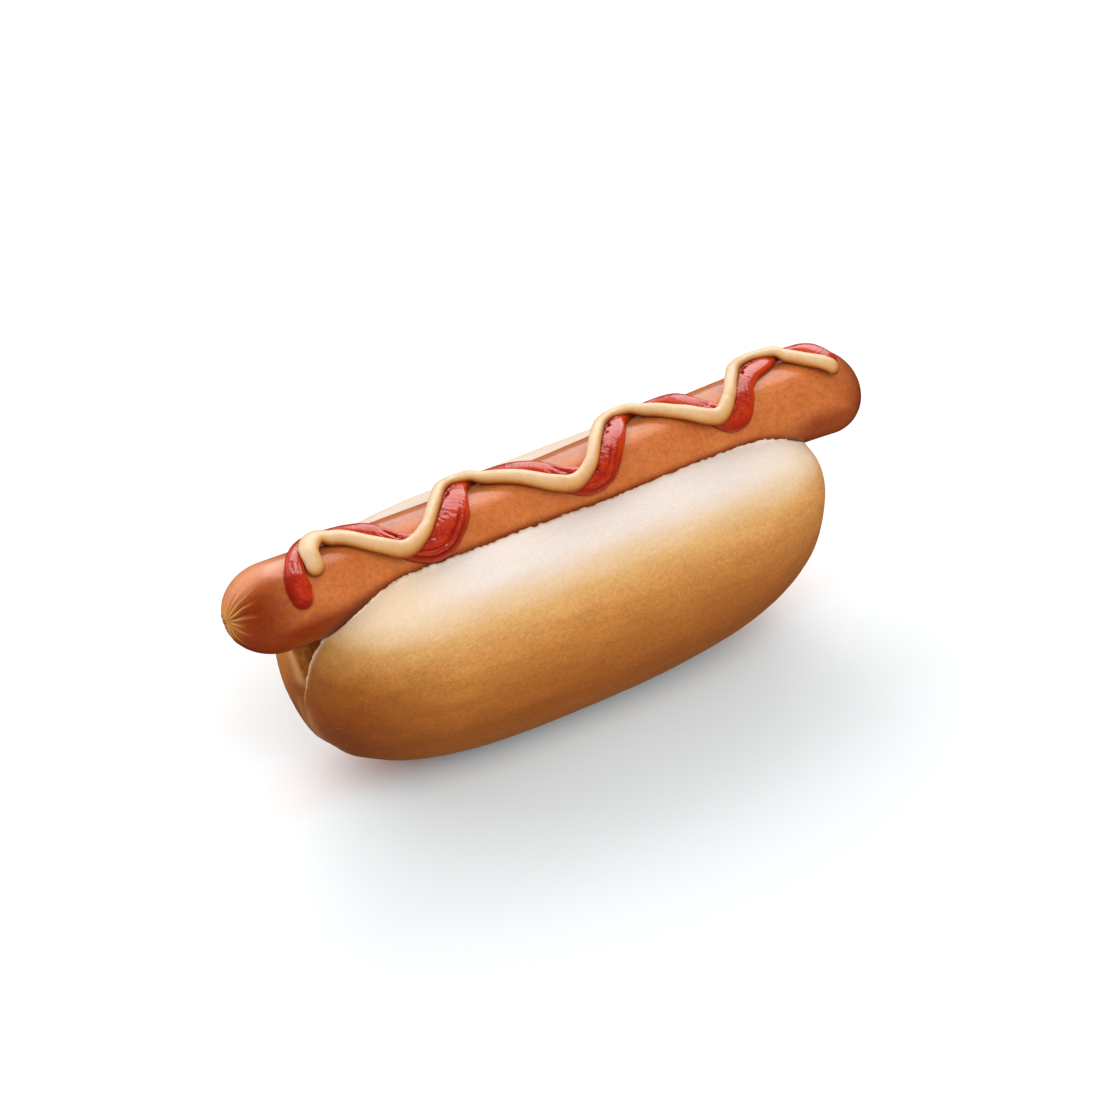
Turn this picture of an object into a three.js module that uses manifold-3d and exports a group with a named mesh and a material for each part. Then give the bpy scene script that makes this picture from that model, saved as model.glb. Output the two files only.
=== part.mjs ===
// A hot dog: a soft bun slit open along its top, a cooked sausage that is longer than the bun,
// and a zigzag line each of ketchup and mustard along the sausage.
//
// Millimetres, +Z up. The origin is under the middle of the sausage, on the surface the bun
// stands on. The sausage runs along X with its pinched end at -X. The two halves of the bun
// lean apart, one towards -Y (the near half) and one towards +Y (the far half).
import * as THREE from "three";
import { mergeVertices } from "three/addons/utils/BufferGeometryUtils.js";
import Module from "manifold-3d";

const wasm = await Module();
wasm.setup();

// ---------------------------------------------------------------- driving dimensions

// Sausage.
const SAUSAGE_LENGTH = 181.6;
const SAUSAGE_RADIUS = 11;
const SAUSAGE_HEIGHT = 56.4; // of its centre line above the floor, halfway along
const SAUSAGE_SWELL = 0.01; // how much thicker than the middle it is at its +X end
const SAUSAGE_BOW = [1.4, -0.1, 0, 1.9, 0]; // rise of the centre line at five even stations, -X to +X
const PINCH_CAP = 13; // length of the rounded end at -X, which is drawn out
const BLUNT_CAP = 10.5; // and of the one at +X
const PINCH_PLEATS = 9; // folds that gather the skin into the pinched end
const PINCH_DEPTH = 0.6;
const PINCH_REACH = 11; // how far along the sausage the pleats run out

// Bun: each half is a rounded loaf shape with a cut face.
const BUN_LENGTH = 146.9;
const BUN_CENTRE_X = 0.7;
const NEAR_HEIGHT = 61.6; // of the near half, along its cut face
const FAR_HEIGHT = 60.4;
const HALF_THICKNESS = 23.5; // across it
const HALF_LEAN = 0.177; // radians that each half leans out from the vertical
const HALF_FOOT_Y = -0.3; // side offset of the leaning plane at its foot
const HALF_FOOT_Z = -0.1;
const END_RISE = 2.3; // how much higher the halves sit at their ends than in the middle
const TOP_POWER = 3.44; // of the long outline seen from the side, above the middle
const FOOT_POWER = 2.98; // and below it
const PLAN_POWER = 2.77; // of the long outline seen from above
const SECTION_TOP_POWER = 2.57; // of the section across, above the middle
const SECTION_FOOT_POWER = 2.11; // and below it
const SHOULDERS = [
  // humps of the near half's cut edge: place as a share of the half-length, and rise
  [-0.7, 1.6],
  [0.74, 1],
];
const SHOULDER_WIDTH = 0.16;

// Slit: the cut faces meet at its floor and part towards the top.
const SLIT_FLOOR = 24; // height at which the bun is still one piece
const SLIT_CURVE = 0.85; // under 1, the faces part faster near the floor
const SEAM_OVERLAP = 0.4; // how far each half passes the middle below the slit
const FACE_BULGE = 0.5; // how far the soft cut face swells inwards

// Sauces, as rounded strips laid on the sausage.
const MUSTARD_WIDTH = 3.6;
const MUSTARD_HEIGHT = 3.5;
const MUSTARD_BLOB = 0.6; // extra width and height where the line begins
const MUSTARD_LIFT = 1.2; // how much higher its middle lies where it crosses the ketchup
const MUSTARD_SQUASH = 0.7; // and how much flatter it is there
const MUSTARD_SIT = 1.4; // height of its middle above the skin, where it lies on the sausage
const KETCHUP_WIDTH = 6.4; // on the far side, where the strip is drawn out
const KETCHUP_SPREAD = 1.8; // extra width at the near turns, where it has run
const KETCHUP_DROP_SLIMMING = 2.2; // width lost at its first drop
const KETCHUP_HEIGHT = 3.0;
const KETCHUP_SIT = 0.6; // height of its middle above the skin
const RUN_FROM = -13; // degrees round the sausage at which the ketchup starts to widen
const RUN_TO = 23; // and at which it has its full width
const RIDE_FULL = 2.6; // distance between the two lines at which the mustard rides highest
const RIDE_NONE = 5.8; // and at which it is back down on the sausage
const GAP = 0.3; // kept between touching pieces

// Each sauce is drawn as a zigzag. A row is one turn: millimetres along the sausage, degrees
// round it from its top towards the near side, and the share of the run to the next turn at
// which the stroke is halfway round.
const MUSTARD_TURNS = [
  [-70.3, 28, 0.12],
  [-62.5, -13, 0.45],
  [-46.8, 42, 0.57],
  [-24, -33, 0.36],
  [0.5, 40, 0.52],
  [23.8, -34, 0.38],
  [43.5, 37, 0.46],
  [62, -34, 0.62],
  [78.3, 28, 0],
];
const KETCHUP_TURNS = [
  [-75.8, 50, 0.2],
  [-61, -45, 0.6],
  [-46.6, 33, 0.5],
  [-38.5, 44, 0.54],
  [-19.5, -46, 0.69],
  [-1.5, 30, 0.5],
  [6.5, 43, 0.54],
  [27, -47, 0.7],
  [41, 25, 0.5],
  [47, 41, 0.47],
  [67, -42, 0.79],
  [80.3, 16, 0],
];

// Fineness of the faceted surfaces.
const SAUSAGE_SIDES = 36;
const SAUSAGE_STEPS = 22;
const SAUSAGE_CAP_STEPS = 7;
const HALF_SIDES = 36;
const HALF_STEPS = 32;
const STRIP_SIDES = 9;
const STRIP_STEPS = 60;
const STRIP_CAP_STEPS = 3;
const ROUTE_SAMPLES = 160;
const ROUTE_NUDGE = 0.002; // share of a route between the two points that give its direction
const WELD = 1e-4; // millimetres within which two vertices are one

// ---------------------------------------------------------------- solids and joins

const HALF_LENGTH = SAUSAGE_LENGTH / 2;

/** A manifold-3d solid from a closed three.js geometry. */
function solidFrom(geometry) {
  const bare = geometry.clone();
  bare.deleteAttribute("normal");
  bare.deleteAttribute("uv");
  const merged = mergeVertices(bare, WELD);
  const mesh = new wasm.Mesh({
    numProp: 3,
    vertProperties: new Float32Array(merged.attributes.position.array),
    triVerts: new Uint32Array(merged.index.array),
  });
  return new wasm.Manifold(mesh);
}

/** A three.js geometry from a manifold-3d solid. */
function geometryFrom(solid) {
  const mesh = solid.getMesh();
  const geometry = new THREE.BufferGeometry();
  geometry.setAttribute("position", new THREE.BufferAttribute(mesh.vertProperties, 3));
  geometry.setIndex(new THREE.BufferAttribute(mesh.triVerts, 1));
  geometry.computeVertexNormals();
  return geometry;
}

/** Moves every vertex of a geometry to where place(x, y, z, target) puts it. */
function reshape(geometry, place) {
  const position = geometry.attributes.position;
  const target = new THREE.Vector3();
  for (let i = 0; i < position.count; i++) {
    place(position.getX(i), position.getY(i), position.getZ(i), target);
    position.setXYZ(i, target.x, target.y, target.z);
  }
  return geometry;
}

/** The power of a number that may be negative, with its sign kept. */
function signedPower(value, power) {
  return Math.sign(value) * Math.abs(value) ** power;
}

/** Half-width of a rounded outline of a given power at a share t of its half-length. */
function outline(t, power) {
  return Math.max(0, 1 - Math.abs(t) ** power) ** (1 / power);
}

// ---------------------------------------------------------------- sausage

/** Height of the sausage's centre line at x: a smooth curve through the five bow stations. */
function centreHeight(x) {
  const t = THREE.MathUtils.clamp(x / HALF_LENGTH, -1, 1);
  const last = SAUSAGE_BOW.length - 1;
  let rise = 0;
  SAUSAGE_BOW.forEach((value, i) => {
    let weight = 1;
    for (let j = 0; j <= last; j++) {
      if (j !== i) weight *= (t - (2 * j) / last + 1) / ((2 * (i - j)) / last);
    }
    rise += value * weight;
  });
  return SAUSAGE_HEIGHT + rise;
}

/** Radius of the sausage's straight part at x. */
function sausageRadius(x) {
  return SAUSAGE_RADIUS * (1 + (SAUSAGE_SWELL * x) / HALF_LENGTH);
}

/** The sausage, or with extra a copy of it that is thicker all round. */
function sausageGeometry(extra = 0) {
  const capsule = new THREE.CapsuleGeometry(1, 1, SAUSAGE_CAP_STEPS, SAUSAGE_SIDES, SAUSAGE_STEPS);
  const from = PINCH_CAP - HALF_LENGTH;
  const to = HALF_LENGTH - BLUNT_CAP;
  return reshape(capsule, (side, along, up, target) => {
    // The capsule is one unit long between its two unit caps.
    const shaft = THREE.MathUtils.clamp(along, -0.5, 0.5);
    const cap = (along < 0 ? PINCH_CAP : BLUNT_CAP) + extra;
    const x = THREE.MathUtils.lerp(from, to, shaft + 0.5) + cap * (along - shaft);
    const fade = Math.max(0, 1 - (x + HALF_LENGTH) / PINCH_REACH);
    const pleat = Math.cos(PINCH_PLEATS * Math.atan2(side, up));
    const radius = sausageRadius(x) + extra - PINCH_DEPTH * fade * (0.5 - 0.5 * pleat);
    target.set(x, -side * radius, centreHeight(x) + up * radius);
  });
}

// ---------------------------------------------------------------- bun

/** Side offset of the cut face at a height along it: nothing below the slit, then parting. */
function cutFace(height) {
  const share = THREE.MathUtils.clamp((height - SLIT_FLOOR) / (NEAR_HEIGHT - SLIT_FLOOR), 0, 1);
  const edge = HALF_FOOT_Y + Math.sin(HALF_LEAN) * NEAR_HEIGHT;
  return (edge + SEAM_OVERLAP) * share ** SLIT_CURVE - SEAM_OVERLAP;
}

/** Rise of the near half's cut edge at a share t of its half-length. */
function shoulderRise(t) {
  let rise = 0;
  for (const [place, height] of SHOULDERS) {
    rise += height * Math.exp(-(((t - place) / SHOULDER_WIDTH) ** 2));
  }
  return rise;
}

/** One half of the bun, on the side -1 (near) or +1 (far). */
function halfGeometry(side) {
  const halfHeight = (side < 0 ? NEAR_HEIGHT : FAR_HEIGHT) / 2;
  const ball = new THREE.SphereGeometry(1, HALF_SIDES, HALF_STEPS);
  return reshape(ball, (across, along, up, target) => {
    const ring = Math.hypot(across, up) || 1;
    // The ball is turned, not mirrored, so that its faces stay outward on both sides.
    const t = -side * along;
    const section = 2 / (up > 0 ? SECTION_TOP_POWER : SECTION_FOOT_POWER);
    const hump = side < 0 ? shoulderRise(t) * Math.max(0, up / ring) : 0;
    const reach = halfHeight * outline(t, up > 0 ? TOP_POWER : FOOT_POWER) + hump;
    const height = halfHeight + END_RISE * t * t + reach * signedPower(up / ring, section);
    const plan = outline(t, PLAN_POWER);
    const outer = plan * Math.max(0, across / ring) ** section;
    const inner = plan * Math.max(0, -across / ring) ** section;
    // The leaning plane bends to the cut face at the slit and fades out towards the crust.
    const plane = HALF_FOOT_Y + Math.sin(HALF_LEAN) * height;
    const face = plane + (cutFace(height) - plane) * (1 - outer) ** 2;
    const y = face - FACE_BULGE * inner + Math.cos(HALF_LEAN) * HALF_THICKNESS * outer;
    const z = HALF_FOOT_Z + Math.cos(HALF_LEAN) * height - Math.sin(HALF_LEAN) * HALF_THICKNESS * outer;
    target.set(BUN_CENTRE_X + (BUN_LENGTH / 2) * t, side * y, z);
  });
}

/** A slab that lies wholly under the floor, to trim the bun's foot flat. */
function underFloor() {
  const slab = new THREE.BoxGeometry(2 * SAUSAGE_LENGTH, 2 * SAUSAGE_LENGTH, NEAR_HEIGHT);
  return slab.translate(0, 0, -NEAR_HEIGHT / 2);
}

/** The bun: both halves, joined below the slit, with the groove that the sausage presses. */
function bunSolid() {
  return solidFrom(halfGeometry(-1))
    .add(solidFrom(halfGeometry(1)))
    .subtract(solidFrom(underFloor()))
    .subtract(solidFrom(sausageGeometry(GAP)));
}

// ---------------------------------------------------------------- sauces

/** A sauce's route on the unrolled sausage: x along it, y round it, both in millimetres. */
function unrolledRoute(turns) {
  const unrolled = ([x, degrees]) =>
    new THREE.Vector3(x, THREE.MathUtils.degToRad(degrees) * SAUSAGE_RADIUS, 0);
  const points = [];
  turns.forEach((turn, i) => {
    const from = unrolled(turn);
    points.push(from);
    if (i === turns.length - 1) return;
    const to = unrolled(turns[i + 1]);
    const halfwayX = THREE.MathUtils.lerp(from.x, to.x, turn[2]);
    points.push(new THREE.Vector3(halfwayX, (from.y + to.y) / 2, 0));
  });
  return new THREE.CatmullRomCurve3(points, false, "centripetal");
}

/** The point that stands height above the sausage's skin, over a point of the unrolled plane. */
function wrapped(flat, height) {
  const angle = flat.y / SAUSAGE_RADIUS;
  const reach = sausageRadius(flat.x) + height;
  return new THREE.Vector3(
    flat.x,
    -Math.sin(angle) * reach,
    centreHeight(flat.x) + Math.cos(angle) * reach,
  );
}

/**
 * A strip with rounded ends laid along a route: size(flat) gives its half-width, its half-height
 * and the height of its middle above the sausage's skin. extra makes it thicker all round.
 */
function stripGeometry(route, size, extra = 0) {
  const capsule = new THREE.CapsuleGeometry(1, 1, STRIP_CAP_STEPS, STRIP_SIDES, STRIP_STEPS);
  return reshape(capsule, (side, along, up, target) => {
    const shaft = THREE.MathUtils.clamp(along, -0.5, 0.5);
    const share = shaft + 0.5;
    const flat = route.getPointAt(share);
    const { halfWidth, halfHeight, height } = size(flat);
    const before = wrapped(route.getPointAt(Math.max(0, share - ROUTE_NUDGE)), height);
    const after = wrapped(route.getPointAt(Math.min(1, share + ROUTE_NUDGE)), height);
    const forward = after.sub(before).normalize();
    const angle = flat.y / SAUSAGE_RADIUS;
    const outward = new THREE.Vector3(0, -Math.sin(angle), Math.cos(angle));
    const sideways = new THREE.Vector3().crossVectors(outward, forward).normalize();
    target
      .copy(wrapped(flat, height))
      .addScaledVector(forward, (along - shaft) * (halfWidth + extra))
      .addScaledVector(sideways, side * (halfWidth + extra))
      .addScaledVector(outward, -up * (halfHeight + extra));
  });
}

const ketchupRoute = unrolledRoute(KETCHUP_TURNS);
const mustardRoute = unrolledRoute(MUSTARD_TURNS);
const ketchupTrack = ketchupRoute.getSpacedPoints(ROUTE_SAMPLES);

/** The ketchup is wider where it has run down on the near side, and narrow at its first drop. */
function ketchupSize(flat) {
  const degrees = THREE.MathUtils.radToDeg(flat.y / SAUSAGE_RADIUS);
  const run = THREE.MathUtils.smoothstep(degrees, RUN_FROM, RUN_TO);
  const drop = 1 - THREE.MathUtils.smoothstep(flat.x, KETCHUP_TURNS[0][0], KETCHUP_TURNS[1][0]);
  return {
    halfWidth: (KETCHUP_WIDTH + KETCHUP_SPREAD * run - KETCHUP_DROP_SLIMMING * drop) / 2,
    halfHeight: KETCHUP_HEIGHT / 2,
    height: KETCHUP_SIT,
  };
}

/** The mustard is thicker where it begins, and rides up where it lies over the ketchup. */
function mustardSize(flat) {
  const clear = Math.min(...ketchupTrack.map((point) => point.distanceTo(flat)));
  const over = 1 - THREE.MathUtils.smoothstep(clear, RIDE_FULL, RIDE_NONE);
  const blob = 1 - THREE.MathUtils.smoothstep(flat.x, MUSTARD_TURNS[0][0], MUSTARD_TURNS[1][0]);
  return {
    halfWidth: (MUSTARD_WIDTH + MUSTARD_BLOB * blob) / 2,
    halfHeight: (MUSTARD_HEIGHT + MUSTARD_BLOB * blob - MUSTARD_SQUASH * over) / 2,
    height: MUSTARD_SIT + MUSTARD_LIFT * over,
  };
}

function mustardSolid() {
  return solidFrom(stripGeometry(mustardRoute, mustardSize)).subtract(
    solidFrom(sausageGeometry(GAP)),
  );
}

function ketchupSolid() {
  return solidFrom(stripGeometry(ketchupRoute, ketchupSize))
    .subtract(solidFrom(sausageGeometry(GAP)))
    .subtract(solidFrom(stripGeometry(mustardRoute, mustardSize, GAP)));
}

// ---------------------------------------------------------------- materials and scene graph

const crust = new THREE.MeshStandardMaterial({ color: 0xd9a45f, roughness: 0.65, metalness: 0 });
const skin = new THREE.MeshStandardMaterial({ color: 0xb8622f, roughness: 0.38, metalness: 0 });
const ketchup = new THREE.MeshStandardMaterial({ color: 0xa81c10, roughness: 0.2, metalness: 0 });
const mustard = new THREE.MeshStandardMaterial({ color: 0xe3bd7c, roughness: 0.35, metalness: 0 });

/** A named mesh of one solid. */
function piece(name, solid, material) {
  const mesh = new THREE.Mesh(geometryFrom(solid), material);
  mesh.name = name;
  return mesh;
}

const hotDog = new THREE.Group();
hotDog.add(piece("bun", bunSolid(), crust));
hotDog.add(piece("sausage", solidFrom(sausageGeometry()), skin));
hotDog.add(piece("ketchup", ketchupSolid(), ketchup));
hotDog.add(piece("mustard", mustardSolid(), mustard));

export default hotDog;
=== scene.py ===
"""The looks of a hot dog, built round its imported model.

Shapes are worked out in millimetres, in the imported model's frame, and turned into metres when a
mesh is made. The sausage runs along X with its pinched end at -X. The near half of the bun leans
towards -Y and the far half towards +Y.
"""
from itertools import product
from math import cos, pi, radians, sin

import bmesh
import bpy
import numpy as np
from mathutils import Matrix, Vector
from mathutils.kdtree import KDTree


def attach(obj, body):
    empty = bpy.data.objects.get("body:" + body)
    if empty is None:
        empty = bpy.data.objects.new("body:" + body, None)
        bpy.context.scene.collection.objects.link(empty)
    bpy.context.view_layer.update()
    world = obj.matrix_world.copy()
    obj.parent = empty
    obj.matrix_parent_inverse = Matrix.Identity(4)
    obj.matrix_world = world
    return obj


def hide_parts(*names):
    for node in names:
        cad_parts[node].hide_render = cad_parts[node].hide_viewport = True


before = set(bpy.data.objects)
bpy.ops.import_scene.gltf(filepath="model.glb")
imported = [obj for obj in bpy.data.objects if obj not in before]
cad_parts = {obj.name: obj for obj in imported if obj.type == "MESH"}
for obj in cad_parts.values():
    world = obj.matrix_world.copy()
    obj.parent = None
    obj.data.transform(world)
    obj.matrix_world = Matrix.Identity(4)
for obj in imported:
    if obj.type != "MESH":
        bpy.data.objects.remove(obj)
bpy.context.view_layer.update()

MM = 0.001

# ---------------------------------------------------------------- sizes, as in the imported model

SAUSAGE_LENGTH = 181.6
HALF_LENGTH = SAUSAGE_LENGTH / 2
SAUSAGE_RADIUS = 11
SAUSAGE_HEIGHT = 56.4  # of its middle line
SAUSAGE_SWELL = 0.01  # share by which its blunt end is thicker and its pinched end thinner
SAUSAGE_BOW = [1.4, -0.1, 0, 1.9, 0]  # how much higher it lies at five even places along it
PINCH_CAP = 13  # length of its rounded end at -X
BLUNT_CAP = 10.5  # and at +X

BUN_LENGTH = 146.9
BUN_CENTRE_X = 0.7
NEAR_HEIGHT = 61.6  # of the near half, along its leaning plane
FAR_HEIGHT = 60.4
HALF_THICKNESS = 23.5
HALF_LEAN = 0.177  # radians that each half leans outwards
HALF_FOOT_Y = -0.3  # where the foot of a half's leaning plane is
HALF_FOOT_Z = -0.1
END_RISE = 2.3  # how much higher the middle of a half lies at its two ends
# Powers of the rounded outlines. At 2 an outline is an ellipse, and above that it is squarer.
TOP_POWER = 3.44
FOOT_POWER = 2.98
PLAN_POWER = 2.77
SECTION_TOP_POWER = 2.57
SECTION_FOOT_POWER = 2.11
# Shoulders and a dip of the near rim, at shares of its half-length from the middle.
SHOULDERS = [(-0.7, 1.6), (0.74, 1)]  # the place and the rise of each shoulder
SHOULDER_WIDTH = 0.16
SAG = (0.13, 0.33, 0.9)  # place, width and depth of the dip
SLIT_FLOOR = 24  # height below which the two halves are joined
SLIT_CURVE = 0.85  # power by which the slit opens with height
SEAM_OVERLAP = 0.4  # how far each half reaches past the middle at the seam
FACE_BULGE = 0.5  # of the cut face

MUSTARD_HEIGHT = 3.5  # of the bead, from its underside to its top
MUSTARD_SIT = 1.4  # height of the bead's middle above the skin
MUSTARD_LIFT = 1.2  # how much higher it lies over the ketchup
MUSTARD_SQUASH = 0.7  # and how much flatter it is there
RIDE_FULL = 2.6  # distance from the ketchup's middle line up to which it is fully lifted
RIDE_NONE = 5.8  # and from which it isn't
KETCHUP_TOP = 2.1  # height of the ketchup's crown above the skin
SKIN_GAP = 0.03  # between a sauce's underside and the skin
SAUCE_GAP = 0.02  # between the mustard's underside and the ketchup
MUSTARD_LIT_SIDE = (-0.35, 0.45, 0.85)  # the way that the mustard's painted light comes from: its skin is painted palest where it faces this way

# A row is one point of a sauce's middle line: millimetres along the sausage, degrees round it from
# its top towards the near side, and the sauce's width there.
MUSTARD_PATH = [
    (-69.5, 23.5, 4.6),
    (-68.8, 4.5, 4.6),
    (-64.5, -12, 4.2),
    (-60.4, -6, 4.1),
    (-52.4, 27.5, 3.7),
    (-47.2, 40, 3.7),
    (-40.6, 29, 3.1),
    (-33.8, 0, 2.9),
    (-28.1, -26, 2.8),
    (-23.6, -35, 2.9),
    (-19.3, -22, 3.3),
    (-11, 7.5, 3.6),
    (-4.8, 31.5, 3.7),
    (0.4, 40, 3.6),
    (6.2, 29, 3.1),
    (11.7, 3, 2.9),
    (18.1, -25, 2.8),
    (23, -35, 2.9),
    (28.2, -20, 3.3),
    (35.5, 14, 3.6),
    (39.8, 31, 3.7),
    (43.5, 36.5, 3.6),
    (48.7, 20, 3.2),
    (52.4, 1, 3.0),
    (58.3, -25, 2.9),
    (63.3, -34, 3.1),
    (68.8, -22, 3.5),
    (72.8, 0, 3.7),
    (76, 16, 3.7),
    (78.8, 29, 3.7),
]
KETCHUP_PATH = [
    (-75.4, 51, 5.6),
    (-75.3, 40, 6.3),
    (-74.8, 26, 5.4),
    (-73, 8, 4.6),
    (-69.7, -12, 4.1),
    (-65, -31, 4.2),
    (-60, -37, 4.6),
    (-55.6, -20, 4.9),
    (-52, -2, 5.2),
    (-49.6, 16, 5.4),
    (-46.8, 32, 6.2),
    (-42.3, 43.5, 7.4),
    (-37.6, 44, 8.2),
    (-33.8, 32, 8.4),
    (-30.5, 15, 8.1),
    (-27.8, -3, 6.8),
    (-25.1, -22, 5.6),
    (-20, -42, 5.4),
    (-14, -39, 5.2),
    (-9.5, -19, 5),
    (-5.6, 0, 5.2),
    (-2.8, 18, 5.6),
    (0.3, 33, 6.6),
    (4.5, 42, 7.4),
    (8.4, 40, 7.9),
    (11.3, 28, 8),
    (14.3, 11, 7.8),
    (17.6, -4, 6.8),
    (21.3, -24, 5.6),
    (26, -42, 5.2),
    (33, -40, 5),
    (37.4, -22, 5),
    (38.8, -5, 5.2),
    (40.4, 12, 5.4),
    (43.2, 29.5, 6),
    (46.6, 42, 6.9),
    (49.4, 41, 7.0),
    (52.0, 26.5, 6.6),
    (54.6, 9, 6.0),
    (59.2, -8, 5.9),
    (65, -22, 6.5),
    (70, -38, 5.3),
    (76, -34.5, 5.2),
    (78.5, -18, 5.2),
    (79.5, 0, 5.2),
    (80.4, 14, 5),
]

# ---------------------------------------------------------------- small helpers

NOISE_TABLE = np.random.default_rng(7).uniform(-1, 1, 4096)
HASH_PRIMES = [73856093, 19349663, 83492791]  # one for each direction


def noise(points, size, seed=0):
    """Smooth noise between -1 and 1 at each point, which changes over about size millimetres."""
    cell = np.asarray(points, float) / size + 31.7 * seed
    low = np.floor(cell).astype(np.int64)
    share = cell - low
    share = share * share * (3 - 2 * share)
    total = np.zeros(cell.shape[:-1])
    for corner in product((0, 1), repeat=cell.shape[-1]):
        weight = np.prod(np.where(corner, share, 1 - share), axis=-1)
        place = (low + corner) * HASH_PRIMES[: cell.shape[-1]]
        total += weight * NOISE_TABLE[np.bitwise_xor.reduce(place, axis=-1) % len(NOISE_TABLE)]
    return total


def smoothstep(value, low, high):
    """Rises smoothly from 0 at low to 1 at high."""
    share = np.clip((value - low) / (high - low), 0, 1)
    return share * share * (3 - 2 * share)


def plateau(value, start, full, fall, end):
    """Rises from 0 at start to 1 at full, and falls from 1 at fall to 0 at end."""
    return smoothstep(value, start, full) * (1 - smoothstep(value, fall, end))


def bell(value, place, width):
    """1 at a place, falling smoothly to 0 on both sides of it."""
    return np.exp(-(((value - place) / width) ** 2))


def signed_power(value, power):
    return np.sign(value) * np.abs(value) ** power


def outline(t, power):
    """Half-width of a rounded outline at a share t of its half-length."""
    return np.maximum(0, 1 - np.abs(t) ** power) ** (1 / power)


def evenly(line, count):
    """Shares, from 0 to 1 by index, of count points that are evenly spaced along a dense line."""
    steps = np.linalg.norm(np.diff(line, axis=0), axis=1)
    along = np.concatenate([[0], np.cumsum(steps)]) / steps.sum()
    return np.interp(np.linspace(0, 1, count), along, np.linspace(0, 1, len(line)))


def ring_faces(count, sides):
    """Faces of a closed skin through count rings of points, shut by two last points at its ends."""
    i, j = np.meshgrid(np.arange(count - 1), np.arange(sides), indexing="ij")
    here, beside = i * sides + j, i * sides + (j + 1) % sides
    quads = np.stack([here, beside, beside + sides, here + sides], axis=-1).reshape(-1, 4)
    first, last = count * sides, count * sides + 1
    faces = quads.tolist()
    for k in range(sides):
        end = (count - 1) * sides
        faces.append([(k + 1) % sides, k, first])
        faces.append([end + k, end + (k + 1) % sides, last])
    return faces


def mesh_object(name, points, faces):
    """A smooth-shaded object from points in millimetres."""
    mesh = bpy.data.meshes.new(name)
    mesh.from_pydata((np.asarray(points) * MM).tolist(), [], faces)
    mesh.polygons.foreach_set("use_smooth", [True] * len(mesh.polygons))
    mesh.update()
    made = bpy.data.objects.new(name, mesh)
    bpy.context.scene.collection.objects.link(made)
    return made


def solid_object(name, points, faces):
    """A closed skin whose faces all look outwards."""
    made = mesh_object(name, points, faces)
    skin = bmesh.new()
    skin.from_mesh(made.data)
    bmesh.ops.recalc_face_normals(skin, faces=skin.faces)
    skin.to_mesh(made.data)
    skin.free()
    return made


def points_of(piece):
    """A piece's points in millimetres, as an array."""
    flat = np.empty(len(piece.data.vertices) * 3)
    piece.data.vertices.foreach_get("co", flat)
    return flat.reshape(-1, 3) / MM


def normals_of(piece):
    flat = np.empty(len(piece.data.vertices) * 3)
    piece.data.vertex_normals.foreach_get("vector", flat)
    return flat.reshape(-1, 3)


def move_points(piece, points):
    piece.data.vertices.foreach_set("co", (points * MM).ravel())
    piece.data.update()


def paint(piece, name, values):
    """Keeps a mask on a piece, one number for each of its points, for its material to read."""
    made = piece.data.attributes.new(name, "FLOAT", "POINT")
    made.data.foreach_set("value", np.asarray(values, np.float32))


def finished(piece, node, material):
    """Gives a piece its material, hangs it on the root body and hides the imported node that it stands for.
    """
    piece.data.materials.append(material)
    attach(piece, "root")
    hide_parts(node)


# ---------------------------------------------------------------- sausage

BOW_CURVE = np.polyfit(np.linspace(-1, 1, len(SAUSAGE_BOW)), SAUSAGE_BOW, len(SAUSAGE_BOW) - 1)
PINCH_START = PINCH_CAP - HALF_LENGTH
BLUNT_START = HALF_LENGTH - BLUNT_CAP


def centre_height(x):
    return SAUSAGE_HEIGHT + np.polyval(BOW_CURVE, np.clip(x / HALF_LENGTH, -1, 1))


def skin_radius(x):
    """Radius of the sausage's skin at x, with its rounded ends."""
    straight = SAUSAGE_RADIUS * (1 + SAUSAGE_SWELL * x / HALF_LENGTH)
    past = np.where(x < 0, (PINCH_START - x) / PINCH_CAP, (x - BLUNT_START) / BLUNT_CAP)
    return straight * np.sqrt(np.clip(1 - np.maximum(0, past) ** 2, 0, 1))


# ---------------------------------------------------------------- bun

BUN_STATIONS = 240
CRUST_SIDES = 88
FACE_SIDES = 30
PRESS = 0.05  # between the pressed bread and the sausage


def cut_face(height):
    """Side offset of the cut face at a height along it."""
    share = np.clip((height - SLIT_FLOOR) / (NEAR_HEIGHT - SLIT_FLOOR), 0, 1)
    edge = HALF_FOOT_Y + sin(HALF_LEAN) * NEAR_HEIGHT
    return (edge + SEAM_OVERLAP) * share**SLIT_CURVE - SEAM_OVERLAP


def shoulder_rise(t):
    """How much higher the near rim is at a share t of its half-length."""
    place, width, depth = SAG
    dip = -depth * bell(t, place, width)
    return dip + sum(rise * bell(t, place, SHOULDER_WIDTH) for place, rise in SHOULDERS)


def half_points(t, across, up, side):
    """Points of one half of the bun, at shares t of its half-length and round its section."""
    half_height = (NEAR_HEIGHT if side < 0 else FAR_HEIGHT) / 2
    section = np.where(up > 0, 2 / SECTION_TOP_POWER, 2 / SECTION_FOOT_POWER)
    hump = shoulder_rise(t) * np.maximum(0, up) if side < 0 else 0
    reach = half_height * np.where(up > 0, outline(t, TOP_POWER), outline(t, FOOT_POWER)) + hump
    height = half_height + END_RISE * t**2 + reach * signed_power(up, section)
    plan = outline(t, PLAN_POWER)
    outer = plan * np.maximum(0, across) ** section
    inner = plan * np.maximum(0, -across) ** section
    plane = HALF_FOOT_Y + sin(HALF_LEAN) * height
    face = plane + (cut_face(height) - plane) * (1 - outer) ** 2
    y = face - FACE_BULGE * inner + cos(HALF_LEAN) * HALF_THICKNESS * outer
    z = HALF_FOOT_Z + cos(HALF_LEAN) * height - sin(HALF_LEAN) * HALF_THICKNESS * outer
    x = BUN_CENTRE_X + BUN_LENGTH / 2 * t + 0 * y
    return np.stack([x, side * y, z], axis=-1)


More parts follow.
